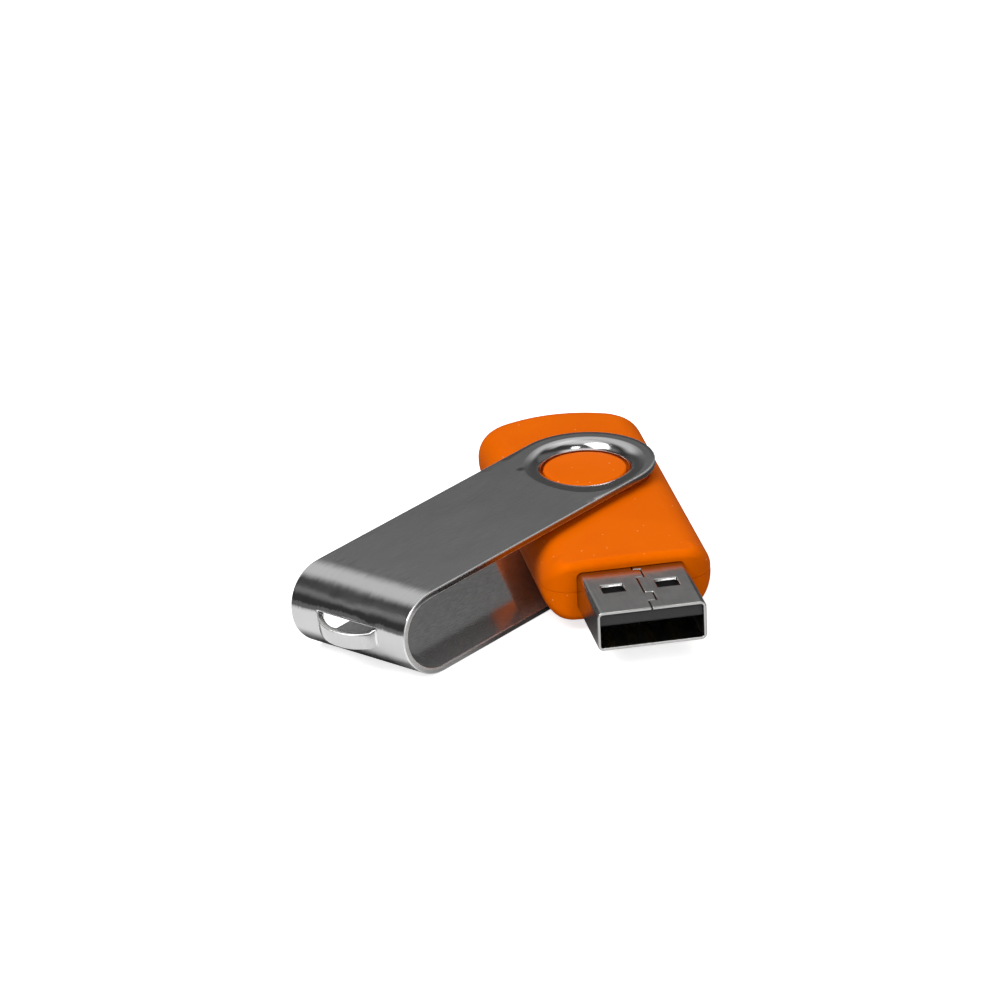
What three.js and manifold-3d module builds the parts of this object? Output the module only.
// Pocket USB flash drive with a swivelling sheet-metal cover.
//
// Frame: millimetres, +Z up. The origin is the centre of the lower swivel boss's
// outer face, on the swivel axis (the Z axis). +X runs from the swivel axis to the
// tip of the plug and +Y is to the left of the plug seen from behind. The cover is
// built closed over the plug, then swung OPEN_ANGLE about Z.
import * as THREE from 'three';
import { mergeVertices } from 'three/addons/utils/BufferGeometryUtils.js';
import Module from 'manifold-3d';

const wasm = await Module();
wasm.setup();
const { Manifold, Mesh } = wasm;
const radians = THREE.MathUtils.degToRad;

// -------------------------------------------------------- shared dimensions
const OPEN_ANGLE = -49.33; // degrees
const BOSS_TOP = 7.9; // the lower boss face is z = 0
const Z_MID = BOSS_TOP / 2; // mid plane of the whole drive, where the housing parts
const ROUND_SEGMENTS = 56; // boss, recess and the cover's dish

const PLUG_X = [19.2, 34.86];
const PLUG_HALF_Y = 6.0;
const PLUG_HALF_Z = 2.25;
const PLUG_WALL = 0.33;
const PLUG_CORNER_R = 0.6;

// ------------------------------------------------------------------ helpers
// Manifold solid from a closed three.js geometry.
function solid(geometry) {
  geometry.deleteAttribute('normal');
  geometry.deleteAttribute('uv');
  const merged = mergeVertices(geometry, 1e-5);
  return new Manifold(new Mesh({
    numProp: 3,
    vertProperties: new Float32Array(merged.attributes.position.array),
    triVerts: new Uint32Array(merged.index.array),
  }));
}

function indexedGeometry(positions, indices) {
  const geometry = new THREE.BufferGeometry();
  geometry.setAttribute('position', new THREE.Float32BufferAttribute(positions, 3));
  geometry.setIndex(Array.from(indices));
  return geometry;
}

function box(x0, x1, y0, y1, z0, z1) {
  const geometry = new THREE.BoxGeometry(x1 - x0, y1 - y0, z1 - z0);
  geometry.translate((x0 + x1) / 2, (y0 + y1) / 2, (z0 + z1) / 2);
  return solid(geometry);
}

function disc(radius, z0, z1, segments, x = 0, y = 0) {
  const geometry = new THREE.CylinderGeometry(radius, radius, z1 - z0, segments);
  geometry.rotateX(Math.PI / 2);
  geometry.translate(x, y, (z0 + z1) / 2);
  return solid(geometry);
}

// Turns (radius, z) points about Z. They run anticlockwise with radius to the right
// and z up, and close on the axis or on themselves.
function turned(points, segments, x = 0, y = 0) {
  const profile = points.map(([radius, z]) => new THREE.Vector2(radius, z));
  const geometry = new THREE.LatheGeometry(profile, segments);
  geometry.rotateX(Math.PI / 2);
  geometry.translate(x, y, 0);
  return solid(geometry);
}

function extruded(points, depth) {
  const shape = new THREE.Shape(points.map(([x, y]) => new THREE.Vector2(x, y)));
  return new THREE.ExtrudeGeometry(shape, { depth, bevelEnabled: false });
}

// outline in XY, raised from z0 to z1
function prism(points, z0, z1) {
  return solid(extruded(points, z1 - z0).translate(0, 0, z0));
}

// outline in XZ, carried along Y from y0 to y1
function prismY(points, y0, y1) {
  const geometry = extruded(points, y1 - y0);
  geometry.rotateX(Math.PI / 2);
  geometry.translate(0, y1, 0);
  return solid(geometry);
}

// outline in YZ, carried along X from x0 to x1
function prismX(points, x0, x1) {
  const geometry = extruded(points, x1 - x0);
  geometry.rotateX(Math.PI / 2);
  geometry.rotateZ(Math.PI / 2);
  geometry.translate(x0, 0, 0);
  return solid(geometry);
}

// Rounded rectangle in YZ, centred on the mid plane.
function roundedRect(halfY, halfZ, radius, cornerSteps) {
  const points = [];
  const corners = [[1, 1, 0], [-1, 1, 90], [-1, -1, 180], [1, -1, 270]];
  for (const [signY, signZ, startAngle] of corners) {
    for (let i = 0; i <= cornerSteps; i++) {
      const angle = radians(startAngle + (90 * i) / cornerSteps);
      points.push([
        signY * (halfY - radius) + radius * Math.cos(angle),
        Z_MID + signZ * (halfZ - radius) + radius * Math.sin(angle),
      ]);
    }
  }
  return points;
}

// Rings of equal length, stacked upwards and closed by flat caps.
function loft(rings) {
  const count = rings[0].length;
  const indices = [];
  for (let k = 0; k + 1 < rings.length; k++) {
    for (let i = 0; i < count; i++) {
      const low = k * count + i;
      const lowNext = k * count + ((i + 1) % count);
      const high = low + count;
      const highNext = lowNext + count;
      indices.push(low, lowNext, highNext, low, highNext, high);
    }
  }
  const cap = (ring) => {
    const outline = ring.map(([x, y]) => new THREE.Vector2(x, y));
    return THREE.ShapeUtils.triangulateShape(outline, []);
  };
  for (const [a, b, c] of cap(rings[0])) indices.push(a, c, b);
  const last = (rings.length - 1) * count;
  for (const [a, b, c] of cap(rings.at(-1))) indices.push(last + a, last + b, last + c);
  return solid(indexedGeometry(rings.flat(2), indices));
}

function mirroredAboutMidPlane(manifold) {
  return manifold.mirror([0, 0, 1]).translate([0, 0, 2 * Z_MID]);
}

// The y range [near, far] on the left, and its mirror on the right.
function bothSides([near, far]) {
  return [[near, far], [-far, -near]];
}

// Evenly spaced points on a smooth curve through the given 2D points.
function smoothLine(points, divisions) {
  const knots = points.map(([x, y]) => new THREE.Vector3(x, y, 0));
  const curve = new THREE.CatmullRomCurve3(knots, false, 'centripetal');
  return curve.getSpacedPoints(divisions).map((point) => [point.x, point.y]);
}

// The line moved to the right of its direction of travel.
function offsetRight(line, distance) {
  return line.map(([x, y], i) => {
    const before = line[Math.max(i - 1, 0)];
    const after = line[Math.min(i + 1, line.length - 1)];
    const tangent = new THREE.Vector2(after[0] - before[0], after[1] - before[1]).normalize();
    return [x + tangent.y * distance, y - tangent.x * distance];
  });
}

// ------------------------------------------------------------------ housing
const FRONT_X = 24.0;
const REAR_X = -19.5;
const HALF_W = 9.5;
const FRONT_CORNER_R = 3.2;
const REAR_CORNER_R = 4.6;
const REAR_BOW = 0.9; // the rear face bulges this much at its middle
const BOW_TRIM = 3; // degrees left out at each end of the bow, next to the corners
const CORNER_STEPS = 9;
const BOW_STEPS = 6;

const FRONT_ROUND = 0.9; // edge rounding along the front
const SIDE_LAND = 0.15; // height above the parting plane where the side rounding starts
const EDGE_STEPS = 7;

// thickness: from the parting plane to the broad face
// sideRound: how far the rounded sides lean in there
// ledge: distance of the ledges from the parting plane
const UPPER_HALF = { thickness: 3.5, sideRound: 3.1, ledge: 0.45, hasPins: false };
const LOWER_HALF = { thickness: 3.75, sideRound: 2.6, ledge: 0.75, hasPins: true };

const SHELL_FLOOR = Z_MID + 0.05 / 2; // half of the parting gap above the mid plane
const SIDE_WALL = 2.0;
const CAVITY_TOP = Z_MID + 2.0;
const FIXTURE_TOP = CAVITY_TOP + 0.3; // pillars and ledges run up into the shell
const RECESS_R = 7.35; // shallow round recess that clears the cover's dish
const RECESS_FLOOR = Z_MID + 3.0;
const BOSS_R = 4.7;
const BOSS_FILLET = 0.25;
const BOSS_ROOT = RECESS_FLOOR - 0.7;
const BOSS_CORE_R = 3.4;
const BOSS_FACE_WALL = 1.1;
const SLOT_HALF_Y = PLUG_HALF_Y + 0.04; // the plug passes with little play
const SLOT_HALF_Z = PLUG_HALF_Z + 0.04;
const SLOT_REAR_X = 15;

const PILLAR_R = 1.25;
const PIN_R = 0.6;
const SOCKET_R = 0.68;
const PIN_SPOTS = [[-14.4, 5.3], [-14.4, -5.3], [20.6, 7.35], [20.6, -7.35]];
const LEDGE_REAR_X = [-10.5, 4.5];
const LEDGE_LENGTH = 1.2;
const LEDGE_Y = [6.55, 7.6];

// Plan outline, anticlockwise: points with their outward normal and the share of
// side rounding in their edge, from 0 (front rounding) to 1 (side rounding).
function planOutline() {
  const outline = [];
  const addArc = (centreX, centreY, radius, from, to, steps, shareAt) => {
    for (let i = 0; i <= steps; i++) {
      const t = i / steps;
      const angle = radians(from + (to - from) * t);
      const nx = Math.cos(angle);
      const ny = Math.sin(angle);
      const x = centreX + radius * nx;
      const y = centreY + radius * ny;
      outline.push({ x, y, nx, ny, sideShare: shareAt(t) });
    }
  };
  const ease = (t) => t * t * (3 - 2 * t);
  const allSide = () => 1;

  const frontX = FRONT_X - FRONT_CORNER_R;
  const frontY = HALF_W - FRONT_CORNER_R;
  // the rear is two corners joined by a shallow bow
  const rearY = HALF_W - REAR_CORNER_R;
  const cornerOrbit = (rearY ** 2 + REAR_BOW ** 2) / (2 * REAR_BOW);
  const bowR = cornerOrbit + REAR_CORNER_R;
  const bowRadians = Math.asin(rearY / cornerOrbit);
  const bowAngle = THREE.MathUtils.radToDeg(bowRadians);
  const bowX = REAR_X + bowR;
  const rearX = bowX - cornerOrbit * Math.cos(bowRadians);
  const addSide = (sign, stations) => {
    for (const t of stations) {
      const x = frontX + (rearX - frontX) * t;
      outline.push({ x, y: sign * HALF_W, nx: 0, ny: sign, sideShare: 1 });
    }
  };

  for (const t of [-0.66, -0.33, 0, 0.33, 0.66]) {
    outline.push({ x: FRONT_X, y: t * frontY, nx: 1, ny: 0, sideShare: 0 });
  }
  addArc(frontX, frontY, FRONT_CORNER_R, 0, 90, CORNER_STEPS, ease);
  addSide(1, [0.25, 0.5, 0.75]);
  addArc(rearX, rearY, REAR_CORNER_R, 90, 180 - bowAngle, CORNER_STEPS, allSide);
  addArc(bowX, 0, bowR, 180 - bowAngle + BOW_TRIM, 180 + bowAngle - BOW_TRIM, BOW_STEPS, allSide);
  addArc(rearX, -rearY, REAR_CORNER_R, 180 + bowAngle, 270, CORNER_STEPS, allSide);
  addSide(-1, [0.75, 0.5, 0.25]);
  addArc(frontX, -frontY, FRONT_CORNER_R, 270, 360, CORNER_STEPS, (t) => 1 - ease(t));
  return outline;
}

const OUTLINE = planOutline();

// One half of the housing without openings, built upwards. The side edge is a quarter
// ellipse that starts near the parting plane; the front edge is a small round.
function halfShellBlank({ thickness, sideRound }) {
  const rings = [OUTLINE.map(({ x, y }) => [x, y, SHELL_FLOOR])];
  for (let k = 0; k <= EDGE_STEPS; k++) {
    const angle = (Math.PI / 2) * (k / EDGE_STEPS);
    rings.push(OUTLINE.map(({ x, y, nx, ny, sideShare }) => {
      const roundHeight = FRONT_ROUND + (thickness - SIDE_LAND - FRONT_ROUND) * sideShare;
      const roundDepth = FRONT_ROUND + (sideRound - FRONT_ROUND) * sideShare;
      const inset = roundDepth * (1 - Math.cos(angle));
      const z = Z_MID + thickness - roundHeight * (1 - Math.sin(angle));
      return [x - nx * inset, y - ny * inset, z];
    }));
  }
  return loft(rings);
}

function swivelBoss() {
  return turned([
    [0, BOSS_ROOT],
    [BOSS_R, BOSS_ROOT],
    [BOSS_R, BOSS_TOP - BOSS_FILLET],
    [BOSS_R - 0.3 * BOSS_FILLET, BOSS_TOP - 0.3 * BOSS_FILLET],
    [BOSS_R - BOSS_FILLET, BOSS_TOP],
    [0, BOSS_TOP],
  ], ROUND_SEGMENTS);
}

// One half of the housing, built upwards from the parting plane.
function halfShell(half) {
  const cavityPlan = OUTLINE.map(({ x, y, nx, ny }) => [x - nx * SIDE_WALL, y - ny * SIDE_WALL]);
  const slot = roundedRect(SLOT_HALF_Y, SLOT_HALF_Z, 0.6, 4);
  let shell = halfShellBlank(half)
    .subtract(disc(RECESS_R, RECESS_FLOOR, Z_MID + half.thickness + 1, ROUND_SEGMENTS))
    .add(swivelBoss())
    .subtract(prism(cavityPlan, Z_MID - 1, CAVITY_TOP))
    .subtract(disc(BOSS_CORE_R, Z_MID, BOSS_TOP - BOSS_FACE_WALL, 32))
    .subtract(prismX(slot, SLOT_REAR_X, FRONT_X + 2));
  for (const [x, y] of PIN_SPOTS) {
    shell = shell.add(disc(PILLAR_R, SHELL_FLOOR, FIXTURE_TOP, 16, x, y));
  }
  // ledges along the side walls
  for (const x of LEDGE_REAR_X) {
    for (const [y0, y1] of bothSides(LEDGE_Y)) {
      shell = shell.add(box(x, x + LEDGE_LENGTH, y0, y1, Z_MID + half.ledge, FIXTURE_TOP));
    }
  }
  // pins on one half, their sockets in the other
  for (const [x, y] of PIN_SPOTS) {
    shell = half.hasPins
      ? shell.add(disc(PIN_R, Z_MID - 1.0, Z_MID + 0.5, 12, x, y))
      : shell.subtract(disc(SOCKET_R, Z_MID - 1, Z_MID + 1.3, 12, x, y));
  }
  return shell;
}

// --------------------------------------------------------------------- plug
const UPPER_WINDOW_X = [27.95, 29.95];
const LOWER_WINDOW_X = [27.2, 29.2]; // the lower windows sit a little further back
const WINDOW_Y = [1.75, 4.25];
const UPPER_CUT_Z = [5.5, 7]; // passes through the plug's upper wall only
const LOWER_CUT_Z = [1, 2.3];
const LEG_X = [15.4, PLUG_X[0] + 0.5];
const LEG_Z = [2.9, 5.0];

// Centre line (x, y) of the seam in the upper face, from beyond the tip to behind the rear.
const SEAM_HALF_WIDTH = 0.04;
const SEAM_LINE = [
  [36, 0.05], [33.05, 0.05], [32.97, 0.92], [30.88, 0.97], [30.8, 0.08],
  [26.85, 0.05], [26.77, 0.88], [24.75, 0.9], [24.68, 0.05], [18, 0.05],
];

// The seam line widened to a band with mitred corners.
function seamOutline() {
  const normals = SEAM_LINE.slice(1).map(([x, y], i) => {
    const [fromX, fromY] = SEAM_LINE[i];
    return new THREE.Vector2(fromY - y, x - fromX).normalize();
  });
  const near = [];
  const far = [];
  SEAM_LINE.forEach(([x, y], i) => {
    const before = normals[Math.max(i - 1, 0)];
    const after = normals[Math.min(i, normals.length - 1)];
    const mitre = before.clone().add(after).normalize();
    mitre.multiplyScalar(SEAM_HALF_WIDTH / mitre.dot(before));
    near.push([x + mitre.x, y + mitre.y]);
    far.push([x - mitre.x, y - mitre.y]);
  });
  return near.concat(far.reverse());
}

function plugShell() {
  const outside = roundedRect(PLUG_HALF_Y, PLUG_HALF_Z, PLUG_CORNER_R, 4);
  const inside = roundedRect(
    PLUG_HALF_Y - PLUG_WALL, PLUG_HALF_Z - PLUG_WALL, PLUG_CORNER_R - PLUG_WALL, 3);
  let shell = prismX(outside, ...PLUG_X)
    .subtract(prismX(inside, PLUG_X[0] - 1, PLUG_X[1] + 1));
  for (const windowY of bothSides(WINDOW_Y)) {
    shell = shell
      .subtract(box(...UPPER_WINDOW_X, ...windowY, ...UPPER_CUT_Z))
      .subtract(box(...LOWER_WINDOW_X, ...windowY, ...LOWER_CUT_Z));
  }
  shell = shell.subtract(prism(seamOutline(), ...UPPER_CUT_Z));
  // two legs that run back beside the board
  for (const legY of bothSides([PLUG_HALF_Y - PLUG_WALL, PLUG_HALF_Y])) {
    shell = shell.add(box(...LEG_X, ...legY, ...LEG_Z));
  }
  return shell;
}

// name, y of the centre line, x of the front end
const CONTACTS = [
  ['power', 3.5, 33.6],
  ['data_minus', 1.0, 32.8],
  ['data_plus', -1.0, 32.8],
  ['ground', -3.5, 33.6],
];
const CONTACT_HALF_W = 0.5;
const CONTACT_Z = [4.38, 4.57]; // the run along the tongue, just below flush in its groove
const TAIL_X = 17.2;
const TAIL_Z = [4.1, 4.32];

const TONGUE_X = 34.5; // front end
const TONGUE_Z = 4.35; // underside
const BLOCK_FRONT_X = 25.5;
const INSULATOR_PLAY = 0.04;
const INSULATOR_HALF_Y = PLUG_HALF_Y - PLUG_WALL - INSULATOR_PLAY;
const INSULATOR_HALF_Z = PLUG_HALF_Z - PLUG_WALL - INSULATOR_PLAY;
const GROOVE_PLAY = 0.06;
const GROOVE_Z = [4.04, CONTACT_Z[1] + 0.04];
const POCKET_MARGIN_X = 0.25;
const POCKET_MARGIN_Y = 0.2;
const POCKET_Z = [5.15, 7];

// Rear block with the tongue that carries the contacts.
function plugInsulator() {
  const top = Z_MID + INSULATOR_HALF_Z;
  const tongueProfile = [
    [BLOCK_FRONT_X - 1, TONGUE_Z], [TONGUE_X - 0.25, TONGUE_Z], [TONGUE_X, TONGUE_Z + 0.25],
    [TONGUE_X, top - 0.2], [TONGUE_X - 0.2, top], [BLOCK_FRONT_X - 1, top],
  ];
  const spanY = [-INSULATOR_HALF_Y, INSULATOR_HALF_Y];
  const envelope = roundedRect(INSULATOR_HALF_Y, INSULATOR_HALF_Z, 0.32, 3);
  let insulator = box(PLUG_X[0] + 0.2, BLOCK_FRONT_X, ...spanY, Z_MID - INSULATOR_HALF_Z, top)
    .add(prismY(tongueProfile, ...spanY))
    .intersect(prismX(envelope, ...PLUG_X));
  // pockets under the windows, where the socket's springs drop in
  for (const [y0, y1] of bothSides(WINDOW_Y)) {
    insulator = insulator.subtract(box(
      UPPER_WINDOW_X[0] - POCKET_MARGIN_X, UPPER_WINDOW_X[1] + POCKET_MARGIN_X,
      y0 - POCKET_MARGIN_Y, y1 + POCKET_MARGIN_Y, ...POCKET_Z));
  }
  // channels through the rear block that go on as grooves along the tongue
  const grooveHalf = CONTACT_HALF_W + GROOVE_PLAY;
  for (const [, y, frontX] of CONTACTS) {
    insulator = insulator.subtract(box(
      PLUG_X[0] - 1, frontX + GROOVE_PLAY, y - grooveHalf, y + grooveHalf, ...GROOVE_Z));
  }
  return insulator;
}

// One strip: a tail over the board, a joggle up and a straight run along the tongue.
function contact(y, frontX) {
  const [bottom, top] = CONTACT_Z;
  const [tailBottom, tailTop] = TAIL_Z;
  return prismY([
    [TAIL_X, tailBottom], [23.6, tailBottom], [24.2, bottom], [frontX, bottom],
    [frontX, top], [23.9, top], [23.3, tailTop], [TAIL_X, tailTop],
  ], y - CONTACT_HALF_W, y + CONTACT_HALF_W);
}

// -------------------------------------------------------------------- board
const BOARD_Z = [3.25, 4.05];
const BOARD_X = [-12.6, 18.9];
const BOARD_STEP_X = 13.6; // the board is narrower in front of this
const BOARD_HALF_W = 7.3;
const BOARD_NECK_HALF_W = 5.45;
const BOARD_TAPER = [0.6, 0.2]; // x and y size of the cut at the rear corners
const PART_GAP = 0.03; // parts stand this far off the board
const PART_Z = BOARD_Z[1] + PART_GAP;
const SOLDER_Z = BOARD_Z[1] + 0.02;

function circuitBoard() {
  const [rearX, frontX] = BOARD_X;
  const [taperX, taperY] = BOARD_TAPER;
  const left = [
    [frontX, BOARD_NECK_HALF_W], [BOARD_STEP_X, BOARD_NECK_HALF_W], [BOARD_STEP_X, BOARD_HALF_W],
    [rearX + taperX, BOARD_HALF_W], [rearX, BOARD_HALF_W - taperY],
  ];
  const right = left.map(([x, y]) => [x, -y]).reverse();
  return prism([...right, ...left], ...BOARD_Z);
}

// Gull-wing leg from shoulder to foot:
// (distance out from the package side, height off the foot)
const CHIP_LEG = [
  [-0.2, 0.42], [0.25, 0.42], [0.4, 0.12], [0.85, 0.12],
  [0.85, 0], [0.3, 0], [0.15, 0.3], [-0.2, 0.3],
];
const CHIP_LEG_W = 0.22;
const CHIP_LEG_PITCH = 0.5;
const CHIP_BODY_HEIGHTS = [0.09, 1.09]; // off the foot

// Package with legs. legSides are quarter turns from +X; up is -1 under the board.
function packagedChip({ centreX, halfX, halfY, legSides, legsPerSide, footZ, up }) {
  const [z0, z1] = CHIP_BODY_HEIGHTS.map((h) => footZ + up * h).sort((a, b) => a - b);
  const parts = [box(-halfX, halfX, -halfY, halfY, z0, z1)];
  const legProfile = CHIP_LEG.map(([out, h]) => [halfX + out, footZ + up * h]);
  const leg = prismY(legProfile, -CHIP_LEG_W / 2, CHIP_LEG_W / 2);
  for (const side of legSides) {
    for (let i = 0; i < legsPerSide; i++) {
      const y = CHIP_LEG_PITCH * (i - (legsPerSide - 1) / 2);
      parts.push(leg.translate([0, y, 0]).rotate([0, 0, 90 * side]));
    }
  }
  return Manifold.union(parts).translate([centreX, 0, 0]);
}

const MEMORY_CHIP = {
  centreX: -1.3, halfX: 9.2, halfY: 6, legSides: [0, 2], legsPerSide: 24, footZ: PART_Z, up: 1,
};
const CONTROLLER_CHIP = {
  centreX: 11.6, halfX: 3.5, halfY: 3.5, legSides: [0, 1, 2, 3], legsPerSide: 12,
  footZ: BOARD_Z[0] - PART_GAP, up: -1,
};

// A can on a slightly larger base.
function crystal() {
  return box(11.0, 14.2, -2.5, 2.5, PART_Z, 4.75)
    .add(box(11.15, 14.05, -2.35, 2.35, 4.7, 5.2));
}

const CAPACITOR_H = 0.8;
const RESISTOR_H = 0.45;
// x, y, whether the length lies along X
const CAPACITORS = [
  [10.0, 5.6, true], [12.4, 5.6, true], [9.6, -5.6, true], [12.0, -5.6, true], [9.95, 3.1, false],
];
const RESISTORS = [
  [9.95, -3.1, false], [9.95, 0, false], [15.2, 1.6, false], [15.2, -1.6, false],
];

// Chip capacitor or resistor: a bar with thicker ends.
function chipPart(x, y, alongX, height) {
  const halfL = 0.8;
  const halfW = 0.4;
  const endL = 0.45;
  const step = 0.04; // the bar is this much thinner than its ends all round
  const block = (from, to, half, h0, h1) => {
    const size = alongX ? [from, to, -half, half] : [-half, half, from, to];
    return box(x + size[0], x + size[1], y + size[2], y + size[3], PART_Z + h0, PART_Z + h1);
  };
  return Manifold.union([
    block(-halfL + 0.1, halfL - 0.1, halfW - step, step, height - step),
    block(-halfL, -halfL + endL, halfW, 0, height),
    block(halfL - endL, halfL, halfW, 0, height),
  ]);
}

// Domed solder at a contact's tail.
function contactSolder(y) {
  const radius = 0.5;
  const height = 0.4;
  return turned([
    [0, SOLDER_Z],
    [radius, SOLDER_Z],
    [radius * 0.8, SOLDER_Z + height * 0.65],
    [radius * 0.4, SOLDER_Z + height * 0.95],
    [0, SOLDER_Z + height],
  ], 12, 16.62, y);
}

// Solder wedge against a plug leg; side is +1 on the left, -1 on the right.
function legSolder(side) {
  const profile = [[4.35, SOLDER_Z], [5.63, SOLDER_Z], [5.63, 4.85], [5.1, 4.4]];
  return prismX(profile.map(([y, z]) => [side * y, z]), 16.0, 17.9);
}

// -------------------------------------------------------------------- cover
const SHEET = 0.7;
const COVER_HALF_W = 7.9;
const COVER_HALF_H = 4.95;
const COVER_TOP = Z_MID + COVER_HALF_H;
const COVER_BOTTOM = Z_MID - COVER_HALF_H;
const ARM_END_X = -9; // behind the rounded ends, which the plan cuts
const PLAN_FRONT_X = 46; // in front of the bend and its strip

// Outer line (x, z) of the bend, from the upper arm round to the lower one.
const BEND_LINE = [
  [36.4, COVER_TOP], [37.75, COVER_TOP - 0.02], [39.15, 8.68], [40.4, 8.12], [41.33, 7.28],
  [41.93, 6.2], [42.15, 5.08], [42.07, 3.9], [41.66, 2.7], [40.9, 1.58],
  [39.8, 0.5], [38.45, -0.36], [37.05, -0.84], [35.7, COVER_BOTTOM],
];
const BEND_FRONT_X = 42.15;

const HOLE_R = 4.94;
const DISH_R = 6.95;
const DISH_STEPS = 6;
const DISH_OVERLAP = 0.05; // the dish ring overlaps the flat arm this much
// Slope a + b t + c t^3, with t from 0 at the rim of the dish to 1 at the hole.
const DISH_SLOPE = { a: 0.14, b: 0.36, c: 0.8 };
const DISH_CUT_MARGIN = 0.05; // the underside's offset points stop this far from the hole
const DISH_CUT_SLOPE = 0.9; // drop from the last of them to the cut edge, per unit of t

// The lanyard loop: a strip cut free from the bend and pushed out.
const STRIP_Z = [3.42, 5.42];
const STRIP_Y = [-4.2, 3.95];
const STRIP_SHEET = 0.55; // thinned where the strip is stretched
const STRIP_BASE_X = BEND_FRONT_X - 0.05;
const STRIP_CUT_X = [40.3, 44];
// Outer line: (distance along Y from the cut's right end, distance out from the base)
const STRIP_LINE = [
  [-0.9, -0.35], [0.75, 0.85], [1.6, 1.6], [2.5, 2.12], [3.5, 2.42], [4.7, 2.42],
  [5.6, 2.28], [6.4, 1.96], [7.2, 1.35], [7.8, 0.62], [8.6, -0.35],
];

// Section (x, z) of the two arms and the bend.
function coverProfile() {
  const outer = smoothLine(BEND_LINE, 22);
  const inner = offsetRight(outer, SHEET);
  // the ends meet the flat arms squarely
  inner[0] = [outer[0][0], COVER_TOP - SHEET];
  inner[inner.length - 1] = [outer.at(-1)[0], COVER_BOTTOM + SHEET];
  return [
    [ARM_END_X, COVER_TOP], ...outer, [ARM_END_X, COVER_BOTTOM],
    [ARM_END_X, COVER_BOTTOM + SHEET], ...inner.reverse(), [ARM_END_X, COVER_TOP - SHEET],
  ];
}

// Plan with its rear end rounded about the swivel axis.
function coverPlan() {
  const steps = 28;
  const points = [[PLAN_FRONT_X, -COVER_HALF_W], [PLAN_FRONT_X, COVER_HALF_W]];
  for (let i = 0; i <= steps; i++) {
    const angle = Math.PI / 2 + (Math.PI * i) / steps;
    points.push([COVER_HALF_W * Math.cos(angle), COVER_HALF_W * Math.sin(angle)]);
  }
  return points;
}

// Dished rim of the swivel hole as a closed ring; arm is +1 on the upper arm, -1 on the lower.
function dishedRim(arm) {
  const { a, b, c } = DISH_SLOPE;
  const width = DISH_R - HOLE_R;
  // (radius, depth below the arm's outer face)
  const outer = [];
  const inner = [];
  for (let i = 0; i <= DISH_STEPS; i++) {
    const t = i / DISH_STEPS;
    const radius = DISH_R - width * t;
    const depth = width * (a * t + (b * t * t) / 2 + (c * t ** 4) / 4);
    outer.push([radius, depth]);
    // the inner face is offset square to the outer one
    const slope = i === 0 ? 0 : Math.atan(a + b * t + c * t ** 3);
    const innerRadius = radius - SHEET * Math.sin(slope);
    if (innerRadius > HOLE_R + DISH_CUT_MARGIN) {
      inner.push([innerRadius, depth + SHEET * Math.cos(slope)]);
    }
  }
  // the cut edge stays upright
  const [lastRadius, lastDepth] = inner.at(-1);
  const remaining = (lastRadius - HOLE_R) / width;
  inner.push([HOLE_R, lastDepth + remaining * DISH_CUT_SLOPE]);
  const ring = [...outer, ...inner.reverse(), outer[0]]
    .map(([radius, depth]) => [radius, Z_MID + arm * COVER_HALF_H - arm * depth]);
  return turned(arm > 0 ? ring : ring.reverse(), ROUND_SEGMENTS);
}

function loopStrip() {
  const outer = smoothLine(STRIP_LINE, 18);
  const band = outer.concat(offsetRight(outer, STRIP_SHEET).reverse());
  const plan = band.map(([along, out]) => [STRIP_BASE_X + out, STRIP_Y[0] + along]);
  return prism(plan, ...STRIP_Z);
}

function swivelCover() {
  const cutR = DISH_R - DISH_OVERLAP;
  return prismY(coverProfile(), -COVER_HALF_W - 0.5, COVER_HALF_W + 0.5)
    .intersect(prism(coverPlan(), COVER_BOTTOM - 1, COVER_TOP + 1))
    .subtract(disc(cutR, COVER_TOP - SHEET - 0.5, COVER_TOP + 0.5, ROUND_SEGMENTS))
    .subtract(disc(cutR, COVER_BOTTOM - 0.5, COVER_BOTTOM + SHEET + 0.5, ROUND_SEGMENTS))
    .add(dishedRim(1))
    .add(dishedRim(-1))
    .subtract(box(...STRIP_CUT_X, ...STRIP_Y, ...STRIP_Z))
    .add(loopStrip());
}

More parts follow.
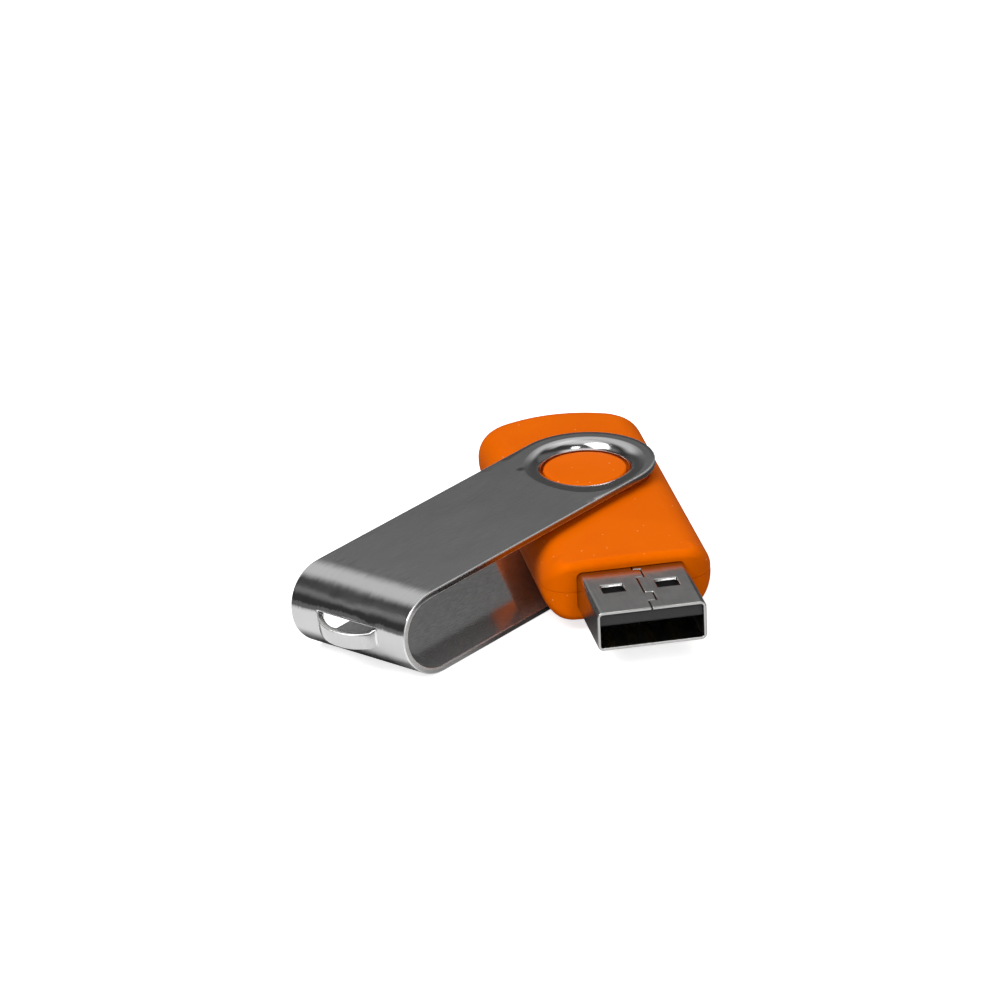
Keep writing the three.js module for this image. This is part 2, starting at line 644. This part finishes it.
// ---------------------------------------------------------------- materials
const FINISHES = {
  orange: { color: 0xe56a00, roughness: 0.55, metalness: 0 },
  steel: { color: 0xb4b4b2, roughness: 0.35, metalness: 1 },
  nickel: { color: 0xbdbcb8, roughness: 0.25, metalness: 1 },
  black: { color: 0x232323, roughness: 0.6, metalness: 0 },
  gold: { color: 0xd4a84e, roughness: 0.3, metalness: 1 },
  board: { color: 0x1c5b33, roughness: 0.5, metalness: 0 },
  package: { color: 0x1b1b1d, roughness: 0.7, metalness: 0 },
  ceramic: { color: 0xa08058, roughness: 0.6, metalness: 0 },
  resist: { color: 0x202226, roughness: 0.5, metalness: 0 },
  tin: { color: 0xc9cbcc, roughness: 0.35, metalness: 1 },
};

// ----------------------------------------------------------------- assembly
const group = new THREE.Group();
const housing = new THREE.Group();
const swivel = new THREE.Group();
swivel.rotation.z = radians(OPEN_ANGLE);
group.add(housing, swivel);

function place(parent, name, manifold, finish) {
  const { vertProperties, triVerts } = manifold.getMesh();
  const geometry = indexedGeometry(vertProperties, triVerts);
  geometry.computeVertexNormals();
  const mesh = new THREE.Mesh(geometry, new THREE.MeshStandardMaterial(FINISHES[finish]));
  mesh.name = name;
  parent.add(mesh);
}

place(housing, 'upper_shell', halfShell(UPPER_HALF), 'orange');
place(housing, 'lower_shell', mirroredAboutMidPlane(halfShell(LOWER_HALF)), 'orange');
place(housing, 'plug_shell', plugShell(), 'nickel');
place(housing, 'plug_insulator', plugInsulator(), 'black');
for (const [name, y, frontX] of CONTACTS) {
  place(housing, `contact_${name}`, contact(y, frontX), 'gold');
}
place(housing, 'circuit_board', circuitBoard(), 'board');
place(housing, 'memory_chip', packagedChip(MEMORY_CHIP), 'package');
place(housing, 'controller_chip', packagedChip(CONTROLLER_CHIP), 'package');
place(housing, 'crystal', crystal(), 'tin');
CAPACITORS.forEach((spot, i) => {
  place(housing, `capacitor_${i + 1}`, chipPart(...spot, CAPACITOR_H), 'ceramic');
});
RESISTORS.forEach((spot, i) => {
  place(housing, `resistor_${i + 1}`, chipPart(...spot, RESISTOR_H), 'resist');
});
for (const [name, y] of CONTACTS) {
  place(housing, `solder_${name}`, contactSolder(y), 'tin');
}
place(housing, 'solder_leg_left', legSolder(1), 'tin');
place(housing, 'solder_leg_right', legSolder(-1), 'tin');
place(swivel, 'swivel_cover', swivelCover(), 'steel');

export default group;
